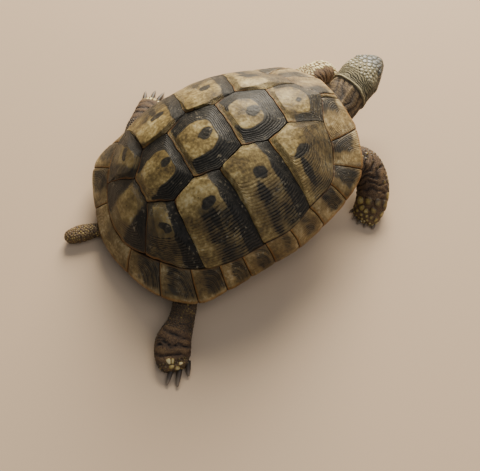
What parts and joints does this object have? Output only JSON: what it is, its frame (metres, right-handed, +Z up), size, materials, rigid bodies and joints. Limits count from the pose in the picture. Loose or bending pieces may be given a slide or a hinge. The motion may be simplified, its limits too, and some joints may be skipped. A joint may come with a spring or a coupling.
{
  "type": "tortoise",
  "caption": "Spur-thighed tortoise in mid-step, head raised and turned to its left, with a high domed shell parted into scutes, scaled legs with claws and a short tail.",
  "frame": {"origin": "on the floor under the middle of the animal's outline, claws, tail and head included", "axes": "+X towards the head along the shell's midline, +Y the animal's left, +Z up"},
  "size_m": [0.2349, 0.2129, 0.0799],
  "materials": {
    "scute": "satin horn with tan middles, charcoal bands and fine growth rings",
    "marginal": "satin horn, tan with dark front halves",
    "plastron": "worn satin horn, straw yellow with dark patches",
    "skin": "dry folded hide with ochre scales",
    "head_skin": "fine scaled olive grey hide",
    "horn": "smooth worn horn of beak and claws",
    "eye": "wet dark brown"
  },
  "bodies": {
    "root": {"costal_left_1": "scute", "costal_left_2": "scute", "costal_left_3": "scute", "costal_left_4": "scute", "costal_right_1": "scute", "costal_right_2": "scute", "costal_right_3": "scute", "costal_right_4": "scute", "vertebral_1": "scute", "vertebral_2": "scute", "vertebral_3": "scute", "vertebral_4": "scute", "vertebral_5": "scute", "nuchal": "marginal", "supracaudal": "marginal", "marginal_left_01": "marginal", "marginal_left_02": "marginal", "marginal_left_03": "marginal", "marginal_left_04": "marginal", "marginal_left_05": "marginal", "marginal_left_06": "marginal", "marginal_left_07": "marginal", "marginal_left_08": "marginal", "marginal_left_09": "marginal", "marginal_left_10": "marginal", "marginal_left_11": "marginal", "marginal_right_01": "marginal", "marginal_right_02": "marginal", "marginal_right_03": "marginal", "marginal_right_04": "marginal", "marginal_right_05": "marginal", "marginal_right_06": "marginal", "marginal_right_07": "marginal", "marginal_right_08": "marginal", "marginal_right_09": "marginal", "marginal_right_10": "marginal", "marginal_right_11": "marginal", "plastron": "plastron", "trunk": "skin", "neck": "skin", "tail": "skin", "head": "head_skin", "lower_jaw": "horn", "eye_left": "eye", "eye_right": "eye", "leg_front_left_upper": "skin", "leg_front_left_lower": "skin", "leg_front_right_upper": "skin", "leg_front_right_lower": "skin", "leg_rear_left_upper": "skin", "leg_rear_left_lower": "skin", "leg_rear_right_upper": "skin", "leg_rear_right_lower": "skin"}
  },
  "joints": []
}
